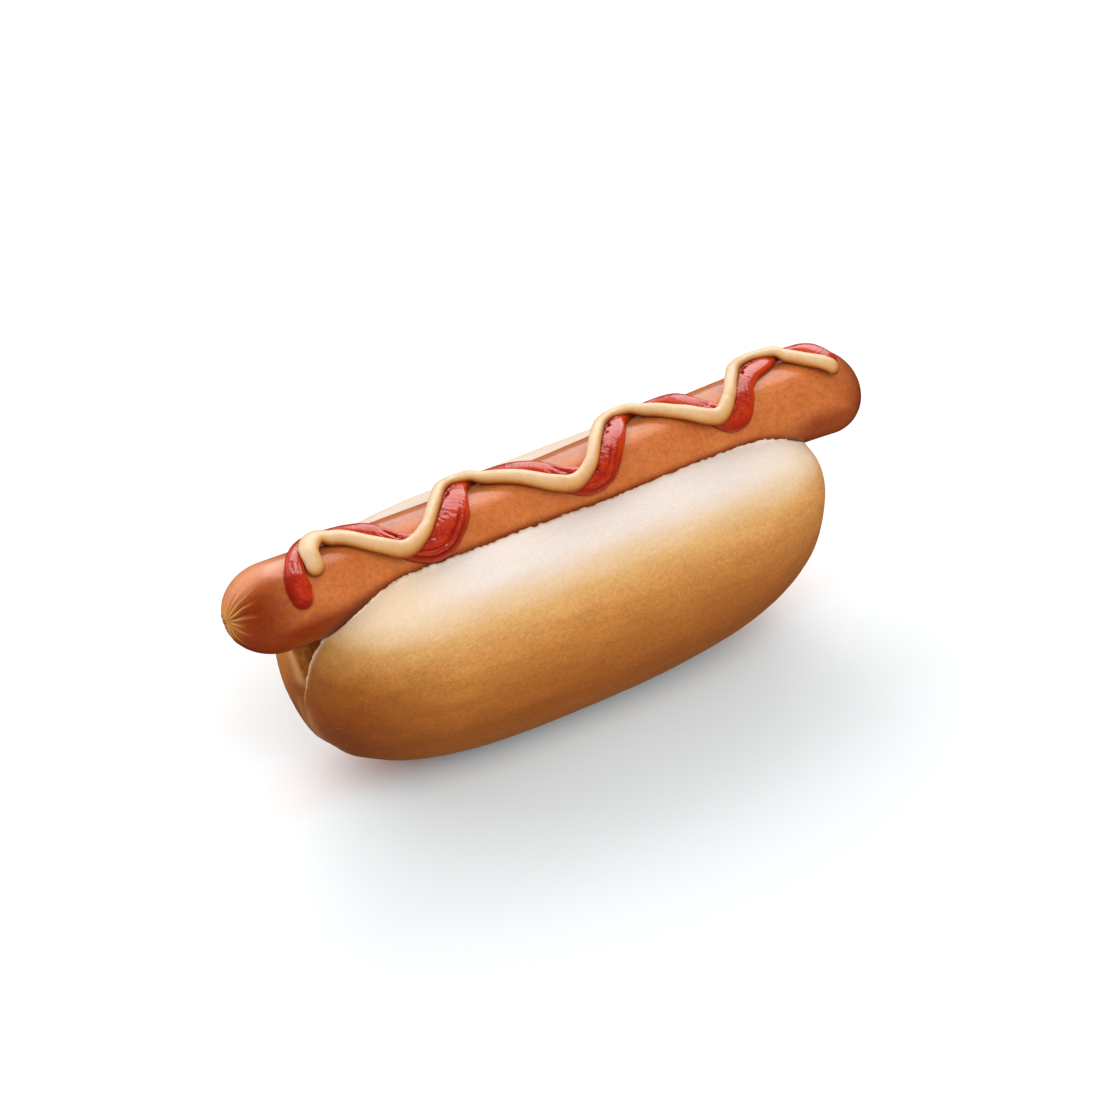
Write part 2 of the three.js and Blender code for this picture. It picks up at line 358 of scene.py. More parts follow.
# The -X nose, where the far half rolls in behind the near one and a crease runs down to the floor.
NOSE_FROM = 56  # how far out it begins
NOSE_TO = 69
ROLL_INWARDS = (1.5, -2.325)  # how far along and across the far half's rim rolls
ROLL_DEPTH = 4.5
CREASE_DEPTH = 1.5
SWERVE = 5.2  # how far the crease swerves to the near side at its foot
SWERVE_OUT = 0.7  # and how far it stands out there
CORNER_ROUNDING = 1.2  # how much the near half's lower corner is rounded off along the bun
CORNER_LIFT = 2.0  # and lifted off the floor
CORNER_X = -68


def nose_share(points):
    return smoothstep(-points[:, 0], NOSE_FROM, NOSE_TO)


def swerve_share(points):
    return nose_share(points) * (1 - smoothstep(points[:, 2], 12, 38))


def nose_shaped(points, side):
    """Points of a half with the crease at its -X nose, and there the far half's rim rolled inwards."""
    x, y, z = points.T
    nose = nose_share(points)
    if side > 0:
        depth = np.maximum(0, y - cut_face(z))
        roll = nose * bell(depth, 0, ROLL_DEPTH) * plateau(z, 22, 34, 34, 46)
        x, y = x + ROLL_INWARDS[0] * roll, y + ROLL_INWARDS[1] * roll
    x = x + CREASE_DEPTH * nose * bell(y, 0.5, 1.7) * plateau(z, 10, 22, 27, 36)
    swerve = swerve_share(points) * bell(y, 0, 8.5)
    corner = smoothstep(-x, 50, 66) * (1 - smoothstep(z, 8, 24)) * smoothstep(-y, 3, 12)
    x, y = x - SWERVE_OUT * swerve + CORNER_ROUNDING * corner, y - SWERVE * swerve
    lift = CORNER_LIFT * bell(x, CORNER_X, 3.6) * smoothstep(-y, 0.5, 5) * (1 - smoothstep(z, 20, 34))
    return np.stack([x, y, z + lift], axis=-1)


DENSE = 4001  # points of a line that even spacing is worked out on


def ring_places():
    """Where along a half's length its rings are, evenly spaced round its plan."""
    share = np.cos(np.linspace(pi, 0, DENSE))
    plan = np.stack([BUN_LENGTH / 2 * share, HALF_THICKNESS * outline(share, PLAN_POWER)], axis=-1)
    return -np.cos(pi * evenly(plan, BUN_STATIONS))[1:-1]


def rim_line(side):
    """The edge between a half's crust and its cut face."""
    t = ring_places()
    return nose_shaped(half_points(t, 0 * t, 0 * t + 1, side), side)


def half_object(side):
    """One half of the bun as a closed skin, with its rings evenly spaced."""
    dense = np.linspace(-pi / 2, 3 * pi / 2, DENSE)
    section = half_points(0.0, np.cos(dense), np.sin(dense), side)
    rim = len(dense) // 2
    crust = dense[0] + pi * evenly(section[: rim + 1], CRUST_SIDES)
    face = dense[rim] + pi * evenly(section[rim:], FACE_SIDES)
    angle = np.concatenate([crust[:-1], face[:-1]])
    t = ring_places()
    rings = half_points(t[:, None], np.cos(angle)[None], np.sin(angle)[None], side).reshape(-1, 3)
    ends = half_points(np.array([-1.0, 1.0]), np.zeros(2), np.ones(2), side)
    points = np.vstack([rings, ends])
    depth = side * points[:, 1] - cut_face(points[:, 2])  # of bread between a point and the cut
    crumb = (1 - smoothstep(depth, 0.25, 0.8)) * smoothstep(points[:, 2], SLIT_FLOOR - 3, SLIT_FLOOR + 3)
    points = nose_shaped(points, side)
    half = solid_object("Half", points, ring_faces(len(t), len(angle)))
    paint(half, "crumb", crumb)
    return half


def joined_halves():
    """The two halves as one skin, joined below the slit."""
    near, far = half_object(-1), half_object(1)
    union = near.modifiers.new("union", "BOOLEAN")
    union.operation = "UNION"
    union.solver = "MANIFOLD"
    union.object = far
    graph = bpy.context.evaluated_depsgraph_get()
    mesh = bpy.data.meshes.new_from_object(near.evaluated_get(graph))
    for half in (near, far):
        bpy.data.objects.remove(half)
    bun = bpy.data.objects.new("Bun", mesh)
    mesh.name = "Bun"
    mesh.materials.clear()
    mesh.polygons.foreach_set("material_index", [0] * len(mesh.polygons))
    bpy.context.scene.collection.objects.link(bun)
    return bun


def nearest(line, points):
    """Distance of each point from the nearest point of a line, and that point's index."""
    tree = KDTree(len(line))
    for index, place in enumerate(line):
        tree.insert(place, index)
    tree.balance()
    found = [tree.find(point)[1:] for point in points]
    index, distance = zip(*found)
    return np.array(distance), np.array(index)


def refine(piece, chosen, cuts):
    """Splits the edges of a piece whose two ends are both chosen."""
    made = bmesh.new()
    made.from_mesh(piece.data)
    made.verts.ensure_lookup_table()
    edges = [edge for edge in made.edges if all(chosen[vert.index] for vert in edge.verts)]
    bmesh.ops.subdivide_edges(made, edges=edges, cuts=cuts, use_grid_fill=True)
    made.to_mesh(piece.data)
    made.free()


def pressed_by_sausage(points):
    """Bread that the sausage would pass through is pushed out to its skin."""
    x = points[:, 0]
    middle = centre_height(x)
    y, z = points[:, 1], points[:, 2] - middle
    distance = np.maximum(np.hypot(y, z), 1e-6)
    wanted = skin_radius(x) + PRESS
    push = np.where(distance < wanted, wanted / distance, 1)
    return np.stack([x, y * push, middle + z * push], axis=-1)


RIM_BAND = 1.3  # how far from a rim the mesh is finer, for its small torn teeth
CREASE_BAND = 4.5  # how far the wrinkles reach beside the crease at the nose
CREASE_PALE_BAND = 3.5  # and how far its paler colour does
# Each wrinkle's place beside the crease, its height and its width.
CREASE_WRINKLES = [
    (-2.9, 0.2, 0.3),
    (-1.5, 0.45, 0.3),
    (-0.7, -0.4, 0.3),
    (0.3, -0.9, 0.35),
    (1.3, 0.5, 0.3),
    (2.7, 0.3, 0.35),
]


def crease_offset(points):
    """How far each point is from the crease at the -X nose, sideways."""
    return points[:, 1] + SWERVE * swerve_share(points)


def crease_share(points, width):
    """How near each point is to the crease at the -X nose."""
    low = plateau(points[:, 2], 2, 6, 25, 31)
    return nose_share(points) * low * bell(crease_offset(points), 0, width)


def nose_wrinkles(points):
    """Height of the thin wrinkles beside the crease at the -X nose."""
    wander = 0.8 * noise(points, 7, 21) + 0.3 * noise(points, 2, 22)
    height = np.zeros(len(points))
    for place, rise, width in CREASE_WRINKLES:
        height += rise * bell(crease_offset(points) + wander, place, width)
    return height * crease_share(points, CREASE_BAND)


def bun():
    piece = joined_halves()
    near_rim, far_rim = rim_line(-1), rim_line(1)
    rims = np.vstack([near_rim, far_rim])
    refine(piece, nearest(rims, points_of(piece))[0] < RIM_BAND, 2)
    refine(piece, crease_share(points_of(piece), CREASE_BAND) > 0.3, 3)
    points = points_of(piece)
    crumb = np.empty(len(points), np.float32)
    piece.data.attributes["crumb"].data.foreach_get("value", crumb)
    beside, index = nearest(rims, points)
    nose = nose_share(points)
    far = index >= len(near_rim)
    rim = bell(beside, 0, 0.7) * (1 - np.where(far, 1.0, 0.7) * nose)
    # The crust dents softly, the crumb is rough, and its rim is torn into small teeth.
    soft = 0.22 * noise(points, 16, 4) + 0.07 * noise(points, 5, 5) + nose_wrinkles(points)
    rough = 0.3 * noise(points, 1.7, 6) + 0.18 * noise(points, 0.8, 7)
    teeth = 0.3 * noise(points, 1.1, 14) + 0.28 * noise(points, 0.55, 15) + 0.15 * noise(points, 3.5, 16)
    shift = (soft * (1 - crumb) + rough * crumb) * (1 - rim) + teeth * rim
    moved = pressed_by_sausage(points + normals_of(piece) * shift[:, None])
    moved[:, 2] = np.maximum(moved[:, 2], 0)
    move_points(piece, moved)
    mesh = piece.data
    mesh.polygons.foreach_set("use_smooth", [True] * len(mesh.polygons))
    # Pale torn teeth along the rims, and a painted highlight along the near rim at the -X nose.
    pale_rim = (1 - nose) * bell(beside, 0, 0.5) * smoothstep(noise(points, 0.9, 17), -0.4, 0.5)
    paint(piece, "pale_rim", np.maximum(pale_rim, nose * ~far * bell(beside, 0, 0.75)))
    lip = bell(beside, 1.6, 1.6) * (1 - crumb) * smoothstep(points[:, 2], 18, 26)
    paint(piece, "lip", nose * far * lip)
    paint(piece, "crease", crease_share(points, CREASE_PALE_BAND))
    return piece


# ---------------------------------------------------------------- the sausage's skin

CRIMP_RIDGES = 19  # that fan out from the pinched end, each with a furrow beside it
CRIMP_CENTRE = (-HALF_LENGTH, 0.0, 58.6)
CRIMP_SEED = 11
SAUSAGE_SIDES = 288
PINCH_RINGS = 64
SHAFT_RINGS = 130
BLUNT_RINGS = 30


def crimp_relief(points):
    """Height of the pinched skin over the plain cap, and its ridges, furrows and gathered middle."""
    offset = points - CRIMP_CENTRE
    distance = np.linalg.norm(offset, axis=1)
    bearing = np.arctan2(offset[:, 1], offset[:, 2])
    draw = np.random.default_rng(CRIMP_SEED)
    bearing = bearing + 0.07 * noise(points, 3.5, 3)
    lines = [np.zeros(len(points)), np.zeros(len(points))]
    for k in range(2 * CRIMP_RIDGES):
        heading = pi * (k + draw.uniform(-0.35, 0.35)) / CRIMP_RIDGES
        reach = draw.uniform(4.5, 9) + 6 * max(0, cos(heading + 0.5)) ** 3
        width = draw.uniform(0.16, 0.3)
        strength = draw.uniform(0.5, 1.0)
        swing = (bearing - heading + pi) % (2 * pi) - pi
        sideways = np.abs(swing) * np.maximum(distance, 0.3)
        fade = (1 - smoothstep(distance, 0.3 * reach, reach)) * smoothstep(distance, 0.2, 1.2)
        line = strength * fade * bell(sideways, 0, width)
        lines[k % 2] = np.maximum(lines[k % 2], line)
    ridge, furrow = lines
    gather = 1 - smoothstep(distance, 1.5, 7.0)
    dimple = bell(distance, 0, 1.1)
    return 0.26 * ridge - 0.26 * furrow - 0.2 * gather - 0.55 * dimple, ridge, furrow, gather


def paint_browning_and_shade(piece, points):
    """Masks of the sausage's darker and paler places: browned ends, painted shade and a painted highlight."""
    x = points[:, 0]
    # Degrees round the sausage from its top, towards the near side.
    bearing = np.degrees(np.arctan2(-points[:, 1], points[:, 2] - centre_height(x)))
    from_top = np.abs(bearing)
    from_top += (75 - from_top) * smoothstep(x, 84, 90)  # the blunt tip is one even shade
    # The ends that stick out of the bun are browned more, and painted shade darkens them underneath, where
    # they overhang, and at the pinch, save its lit top.
    near_or_under = smoothstep(bearing, -14, 40) + smoothstep(-bearing, 90, 150)
    left = smoothstep(-x, 70, 86) * (0.1 + 0.9 * near_or_under)
    right = smoothstep(x, 74, 88) * (0.58 + 0.4 * smoothstep(from_top, 40, 90))
    overhang = np.maximum(smoothstep(-x, 50, 66), 0.8 * smoothstep(x, 54, 72))
    under = overhang * smoothstep(from_top, 66, 94)
    paint(piece, "browned_and_shaded", np.maximum(np.maximum(left, right), under))
    # Painted shade darkens it where it touches the bread, in a wider band towards the pinch.
    rims = pressed_by_sausage(np.vstack([rim_line(-1), rim_line(1)]))
    band = 1.15 + 1.6 * smoothstep(-x, 52, 64)
    paint(piece, "contact_shade", bell(nearest(rims, points)[0], 0, band))
    # Painted shade makes its far side duller, and a painted highlight makes its shoulder at the pinch rosier.
    far = smoothstep(-bearing, -12, 8) * (1 - 0.5 * smoothstep(-bearing, 6, 30))
    paint(piece, "far", far * (1 - smoothstep(-bearing, 70, 120)) * plateau(x, -84, -66, 76, 88))
    paint(piece, "shoulder_highlight", smoothstep(-x, 70, 80) * plateau(-bearing, -20, 4, 50, 90))


def sausage():
    pinch = np.linspace(0, pi / 2, PINCH_RINGS)[1:-1]
    blunt = np.linspace(pi / 2, 0, BLUNT_RINGS)[1:-1]
    x = np.concatenate(
        [
            PINCH_START - PINCH_CAP * np.cos(pinch),
            np.linspace(PINCH_START, BLUNT_START, SHAFT_RINGS),
            BLUNT_START + BLUNT_CAP * np.cos(blunt),
        ]
    )
    angle = np.linspace(0, 2 * pi, SAUSAGE_SIDES, endpoint=False)
    radius = skin_radius(x)[:, None]
    rings = np.stack(
        [
            np.broadcast_to(x[:, None], (len(x), len(angle))),
            -np.sin(angle) * radius,
            centre_height(x)[:, None] + np.cos(angle) * radius,
        ],
        axis=-1,
    ).reshape(-1, 3)
    ends = [(tip, 0, centre_height(tip)) for tip in (-HALF_LENGTH, HALF_LENGTH)]
    points = np.vstack([rings, ends])
    piece = solid_object("Sausage", points, ring_faces(len(x), len(angle)))
    relief, ridge, furrow, gather = crimp_relief(points)
    uneven = 0.12 * noise(points, 23, 1) + 0.05 * noise(points, 7, 2)
    relief = relief + uneven * smoothstep(HALF_LENGTH - np.abs(points[:, 0]), 0, 12)
    points = points + normals_of(piece) * relief[:, None]
    points[:, 0] = np.maximum(points[:, 0], -HALF_LENGTH)
    move_points(piece, points)
    paint(piece, "ridge", ridge)
    paint(piece, "furrow", furrow)
    paint(piece, "gather", gather)
    paint_browning_and_shade(piece, points)
    return piece


# ---------------------------------------------------------------- sauces


def smooth_curve(points, steps=40):
    """A centripetal Catmull-Rom curve through the points."""
    points = np.asarray(points, float)
    knots = np.vstack([2 * points[0] - points[1], points, 2 * points[-1] - points[-2]])
    share = np.linspace(0, 1, steps, endpoint=False)[:, None]
    line = []
    for a, b, c, d in zip(knots, knots[1:], knots[2:], knots[3:]):
        before, span, after = (np.linalg.norm(q - p) ** 0.5 for p, q in ((a, b), (b, c), (c, d)))
        leave = ((b - a) / before - (c - a) / (before + span)) * span + (c - b)
        arrive = ((d - c) / after - (d - b) / (span + after)) * span + (c - b)
        line.append(
            b
            + share * leave
            + share**2 * (3 * (c - b) - 2 * leave - arrive)
            + share**3 * (2 * (b - c) + leave + arrive)
        )
    return np.vstack([*line, points[-1:]])


def unrolled(path):
    """A sauce's middle line on the unrolled sausage: x along it, y round it, and the width."""
    return smooth_curve([(x, radians(degrees) * SAUSAGE_RADIUS, width) for x, degrees, width in path])


def resampled(line, count):
    """A line with count evenly spaced points."""
    share = evenly(line[:, :2], count) * (len(line) - 1)
    return np.stack([np.interp(share, np.arange(len(line)), column) for column in line.T], axis=-1)


def in_space(flat):
    """Points of the unrolled plane with a third coordinate of 0."""
    return np.pad(flat, ((0, 0), (0, 1)))


def flat_nearest(line, flat):
    """Distance on the unrolled plane of each point from a line, and the index of its nearest point."""
    return nearest(in_space(line[:, :2]), in_space(flat))


def round_degrees(flat):
    """Degrees round the sausage of points of the unrolled plane."""
    return np.degrees(flat[:, 1] / SAUSAGE_RADIUS)


def wrapped(flat, height):
    """Points that stand height above the skin, over points of the unrolled plane."""
    x, angle = flat[:, 0], flat[:, 1] / SAUSAGE_RADIUS
    reach = skin_radius(x) + height
    return np.stack([x, -np.sin(angle) * reach, centre_height(x) + np.cos(angle) * reach], axis=-1)


MUSTARD_LINE = resampled(unrolled(MUSTARD_PATH), 560)
KETCHUP_LINE = resampled(unrolled(KETCHUP_PATH), 1700)
END_RINGS = 12  # of a sauce's rounded end
MUSTARD_SIDES = 32
KETCHUP_TOPS = 44  # points of a ring over its crown
KETCHUP_UNDERS = 4  # and underneath


def strip(line):
    """Rings of a sauce with rounded ends: middles, side directions, scales and half-widths, then its tips."""
    flat, half = line[:, :2], line[:, 2] / 2
    heading = np.gradient(flat, axis=0)
    heading /= np.linalg.norm(heading, axis=1)[:, None]
    turn = np.linspace(0, pi / 2, END_RINGS + 2)[1:-1, None]
    first = flat[0] - heading[0] * half[0] * np.cos(turn)
    last = flat[-1] + heading[-1] * half[-1] * np.sin(turn)
    scale = np.concatenate([np.sin(turn[:, 0]), np.ones(len(flat)), np.cos(turn[:, 0])])
    tips = flat[0] - heading[0] * half[0], flat[-1] + heading[-1] * half[-1]
    heading = np.pad(heading, ((END_RINGS, END_RINGS), (0, 0)), mode="edge")
    side = np.stack([-heading[:, 1], heading[:, 0]], axis=-1)
    half = np.pad(half, END_RINGS, mode="edge")
    return np.vstack([first, flat, last]), side, scale, half, np.array(tips)


def mustard_ride(flat):
    """Middle height and half-height of the mustard line, which rides up over the ketchup."""
    over = 1 - smoothstep(flat_nearest(KETCHUP_LINE, flat)[0], RIDE_FULL, RIDE_NONE)
    return MUSTARD_SIT + MUSTARD_LIFT * over, (MUSTARD_HEIGHT - MUSTARD_SQUASH * over) / 2


def mustard():
    centre, side, scale, half, tips = strip(MUSTARD_LINE)
    middle, thick = mustard_ride(centre)
    angle = np.linspace(0, 2 * pi, MUSTARD_SIDES, endpoint=False)
    thick = thick * (0.75 + 0.25 * half / (MUSTARD_HEIGHT / 2))  # a wider bead is thicker too
    wobble = 1 + 0.04 * noise(in_space(centre), 6, 8)
    across = np.cos(angle)[None] * (half * scale * wobble)[:, None]
    height = middle[:, None] + np.sin(angle)[None] * (thick * scale * wobble)[:, None]
    height = np.maximum(height, SKIN_GAP)
    flat = centre[:, None, :] + side[:, None, :] * across[..., None]
    points = wrapped(flat.reshape(-1, 2), height.ravel())
    ends = wrapped(tips, 0.9 * middle[[0, -1]])
    piece = solid_object("Mustard", np.vstack([points, ends]), ring_faces(len(centre), MUSTARD_SIDES))
    # Painted light and shade: the more a point's skin faces the lit side, the paler it is painted.
    paint(piece, "painted_light", normals_of(piece) @ MUSTARD_LIT_SIDE / np.linalg.norm(MUSTARD_LIT_SIDE))
    return piece


def fold_depth(lateral, place):
    """Depth of the folds that follow the ketchup round its near turns, with raised bands between."""
    drift = 0.12 * noise(place * [1, 0, 0], 6, 13)
    broken = smoothstep(noise(place * [1, 0, 0], 6, 20), -0.2, 0.3)
    folds = 0.6 * bell(lateral + drift, 0.3, 0.06) + 0.5 * bell(lateral + 0.6 * drift, 0.64, 0.06)
    folds += 1.3 * bell(lateral + drift, -0.3, 0.08) * broken
    folds -= 0.34 * bell(lateral + drift, 0.14, 0.1) + 0.34 * bell(lateral + drift, 0.47, 0.1)
    return folds


def ketchup_relief(place, degrees, turn, drop):
    """Height of the ketchup's fine wrinkles, which run across the strip, and of its soft swellings."""
    bend = 0.35 * noise(place * [0.4, 1, 0], 2.2, 18)
    wrinkle = noise(place * [1, 0.12, 0] + bend[..., None] * [1, 0, 0], 0.42, 11)
    wrinkle *= smoothstep(noise(place, 5, 19), -0.4, 0.4) * (1 - 0.75 * turn) * (1 - drop)
    wrinkle *= 0.25 + 0.75 * smoothstep(degrees, -22, -4)
    swell = 0.16 * noise(place * [0.5, 1, 0], 2.0, 12) * (1 - 0.7 * drop)
    swell += (0.16 * noise(place * [1, 0.6, 0], 1.1, 24) + 0.08 * noise(place, 0.5, 25)) * turn
    return 0.08 * wrinkle + swell


def pressed_by_mustard(flat, height):
    """The ketchup's height where the mustard presses it down, and the ragged gap beside the mustard."""
    away, index = flat_nearest(MUSTARD_LINE, flat)
    middle, thick = mustard_ride(MUSTARD_LINE[:, :2])
    bead = MUSTARD_LINE[index, 2] / 2
    under = middle[index] - thick[index] * np.sqrt(np.clip(1 - (away / bead) ** 2, 0, 1)) - SAUCE_GAP
    height = np.where(away < bead, np.minimum(height, under), height)
    ragged = smoothstep(noise(in_space(flat), 1.3, 23), -0.1, 0.4)
    gap = bell(away - bead, 0.5, 0.35) * ragged
    gap *= plateau(round_degrees(flat), -30, -18, -4, 4) * (flat[:, 0] > -60)
    return np.maximum(height - 1.3 * gap, SKIN_GAP), gap


def ketchup():
    """A thick wrinkled strip: rings of points from its outer edge over its crown, then underneath."""
    centre, side, scale, half, tips = strip(KETCHUP_LINE)
    angle = np.linspace(0, pi, KETCHUP_TOPS)
    underside = np.linspace(-0.8, 0.8, KETCHUP_UNDERS)
    lateral = np.concatenate([signed_power(np.cos(angle), 0.85), underside])[None]
    crown = np.concatenate([np.sin(angle), 0 * underside])[None]
    degrees = round_degrees(centre)[:, None]
    along = np.cumsum(np.linalg.norm(np.diff(centre, axis=0, prepend=centre[:1]), axis=1))[:, None]
    place = np.stack([along + 0 * lateral, lateral * half[:, None], 0 * lateral * along], axis=-1)
    # Shares of the drop at -X, of the near turns, and of their folds, which fade out towards +X.
    drop = (centre[:, :1] < -70) * smoothstep(degrees, 12, 30)
    turn = smoothstep(degrees, 8, 26) * (1 - drop)
    folded = turn * np.interp(centre[:, :1], [-22, -12, 26, 38], [1, 0.5, 0.5, 0.15])
    crown = np.maximum(crown, 0) ** (0.62 + 0.4 * drop)
    waver = 1 + 0.05 * noise(place * [1, 0, 0], 4.5, 9) + 0.03 * noise(place * [1, 1, 0], 1.6, 10)
    across = lateral * (half * scale)[:, None] * waver
    height = KETCHUP_TOP * crown * scale[:, None] ** 0.8 * (1 + 0.4 * drop)
    folds = fold_depth(lateral, place) * folded
    height = height + (ketchup_relief(place, degrees, turn, drop) - folds) * crown * scale[:, None]
    flat = (centre[:, None, :] + side[:, None, :] * across[..., None]).reshape(-1, 2)
    height, gap = pressed_by_mustard(flat, height.ravel())
    points = np.vstack([wrapped(flat, height), wrapped(tips, np.array([0.4, 0.4]))])
    piece = solid_object("Ketchup", points, ring_faces(len(centre), KETCHUP_TOPS + KETCHUP_UNDERS))
    # Painted shade darkens it in its folds, along the lower rims of its turns, round the rim of the drop and
    # in the gap beside the mustard.
    rim = np.maximum(0.8 * smoothstep(-lateral, 0.3, 1), 0.5 * smoothstep(lateral, 0.65, 1))
    rim = drop * np.maximum(rim, 0.8 * smoothstep(degrees, 52, 58))
    lower = turn * smoothstep(round_degrees(flat).reshape(across.shape) - degrees, 6, 13)
    deep_shade = folds * crown / 0.9 + rim + 0.65 * lower
    paint(piece, "deep_shade", np.clip(np.concatenate([deep_shade.ravel() + gap, [0, 0]]), 0, 1))
    edge = np.abs(lateral) * (1 - 0.55 * drop)
    paint(piece, "edge", np.concatenate([edge.ravel(), [1, 1]]))
    return piece


# ---------------------------------------------------------------- materials


class Nodes:
    """A small builder of material node trees."""

    def __init__(self, name):
        self.material = bpy.data.materials.new(name)
        self.material.use_nodes = True
        self.tree = self.material.node_tree
        self.shader = self.tree.nodes["Principled BSDF"]

    def add(self, kind, inputs=(), **settings):
        node = self.tree.nodes.new("ShaderNode" + kind)
        for key, value in settings.items():
            setattr(node, key, value)
        for key, value in dict(inputs).items():
            self.feed(node.inputs[key], value)
        return node

    def feed(self, socket, value):
        if isinstance(value, bpy.types.NodeSocket):
            self.tree.links.new(value, socket)
        else:
            socket.default_value = value

    def mask(self, name, strength=1.0):
        """A mask that paint has kept on the piece."""
        mask = self.add("Attribute", attribute_name=name).outputs["Fac"]
        return mask if strength == 1.0 else self.times(mask, strength)

    def place(self):
        return self.add("TexCoord").outputs["Object"]

    def mapped(self, **inputs):
        """The place on the piece, moved and stretched."""
        return self.add("Mapping", {"Vector": self.place(), **inputs}).outputs["Vector"]

    def noise(self, scale, detail=3, roughness=0.5, stretch=(1, 1, 1)):
        place = self.mapped(Scale=stretch)
        inputs = {"Vector": place, "Scale": scale, "Detail": detail, "Roughness": roughness}
        return self.add("TexNoise", inputs).outputs["Fac"]

    def ramp(self, fac, stops):
        node = self.add("ValToRGB", {"Fac": fac})
        elements = node.color_ramp.elements
        while len(elements) < len(stops):
            elements.new(0.5)
        for element, (place, colour) in zip(elements, stops):
            element.position = place
            element.color = colour if len(colour) == 4 else (*colour, 1)
        return node.outputs["Color"]

    def math(self, operation, a, b=0.0, clamp=False):
        node = self.add("Math", operation=operation, use_clamp=clamp)
        self.feed(node.inputs[0], a)
        self.feed(node.inputs[1], b)
        return node.outputs[0]

    def times(self, first, *others):
        for other in others:
            first = self.math("MULTIPLY", first, other)
        return first

    def total(self, first, *others):
        for other in others:
            first = self.math("ADD", first, other)
        return first

    def centred(self, value, size):
        """A noise that swings round 0, by up to half of size each way."""
        return self.times(self.math("SUBTRACT", value, 0.5), size)

    def remap(self, value, low, high, to_low=0.0, to_high=1.0):
        inputs = {"Value": value, "From Min": low, "From Max": high, "To Min": to_low, "To Max": to_high}
        return self.add("MapRange", inputs).outputs["Result"]

    def mix(self, fac, a, b, blend="MIX"):
        node = self.add("MixRGB", blend_type=blend)
        self.feed(node.inputs["Fac"], fac)
        self.feed(node.inputs["Color1"], a)
        self.feed(node.inputs["Color2"], b)
        return node.outputs["Color"]

    def scaled(self, colour, factor):
        """A colour made brighter or darker by a factor."""
        node = self.add("VectorMath", operation="SCALE")
        self.feed(node.inputs[0], colour if isinstance(colour, bpy.types.NodeSocket) else colour[:3])
        self.feed(node.inputs["Scale"], factor)
        return node.outputs["Vector"]

    def dots(self, cell, radius, share, strength, seed=0):
        """A mask of round dots, in a share of cells that are cell millimetres wide."""
        place = self.mapped(Location=(0.37 * seed, 0.11 * seed, 0))
        cells = self.add("TexVoronoi", {"Vector": place, "Scale": 1 / (cell * MM)})
        near = self.remap(cells.outputs["Distance"], radius / cell * 1.6, radius / cell * 0.6)
        chosen = self.add("SeparateColor", {"Color": cells.outputs["Color"]}).outputs[0]
        return self.times(near, self.math("LESS_THAN", chosen, share), strength)

    def bump(self, height, distance, strength=1.0, normal=None):
        inputs = {"Height": height, "Distance": distance, "Strength": strength}
        if normal is not None:
            inputs["Normal"] = normal
        return self.add("Bump", inputs).outputs["Normal"]

    def set(self, **sockets):
        for name, value in sockets.items():
            self.feed(self.shader.inputs[name.replace("_", " ")], value)
        return self.material


def screen(red, green, blue):
    """A linear colour from its 0 to 255 screen values."""
    shares = [value / 255 for value in (red, green, blue)]
    return tuple(v / 12.92 if v < 0.04 else ((v + 0.055) / 1.055) ** 2.4 for v in shares) + (1,)


BUN_TOP = 62  # height at which the ramp of crust colours ends
# Height in millimetres and colour of the crust, from its baked underside to its pale cut edge.
CRUST_COLOURS = [
    (4, screen(178, 104, 62)),
    (12, screen(164, 92, 34)),
    (20, screen(156, 84, 24)),
    (30, screen(176, 102, 37)),
    (40, screen(198, 128, 58)),
    (45, screen(213, 149, 81)),
    (50, screen(225, 174, 110)),
    (54, screen(236, 202, 161)),
    (57.5, screen(238, 223, 212)),
]
NOSE_SHADE_COLOUR = (0.6, 0.44, 0.2, 1)  # what the -X nose multiplies the crust's colour by: painted shade, as that end faces away from the lamps
FAR_TOP_SHADE_COLOUR = (0.8, 0.76, 0.7, 1)  # and what the far half's top multiplies it by: painted shade, which tones down the strong back light there
PALE_END_COLOUR = screen(248, 230, 206)  # of the bun's top at +X
WARM_END_COLOUR = screen(246, 216, 176)  # and of its near half's top at -X
FLECK_COLOUR = screen(120, 62, 22)
SPECK_COLOUR = screen(246, 214, 168)
CREASE_COLOUR = screen(204, 148, 98)
LIP_COLOUR = screen(214, 164, 110)  # of the far rim where it rolls in at the nose
CRUMB_COLOUR = screen(214, 170, 104)
CRUMB_TOP_COLOUR = screen(222, 192, 158)
# painted shade of the crumb on the far half's top
CRUMB_FAR_SHADE_COLOUR = screen(203, 181, 168)
# painted shade of the crumb deep in the slit at the -X nose
CRUMB_NOSE_SHADE_COLOUR = screen(212, 140, 62)
# of the pale torn crumb, and of the painted highlight along the near rim at the nose
PALE_RIM_COLOUR = screen(240, 220, 188)


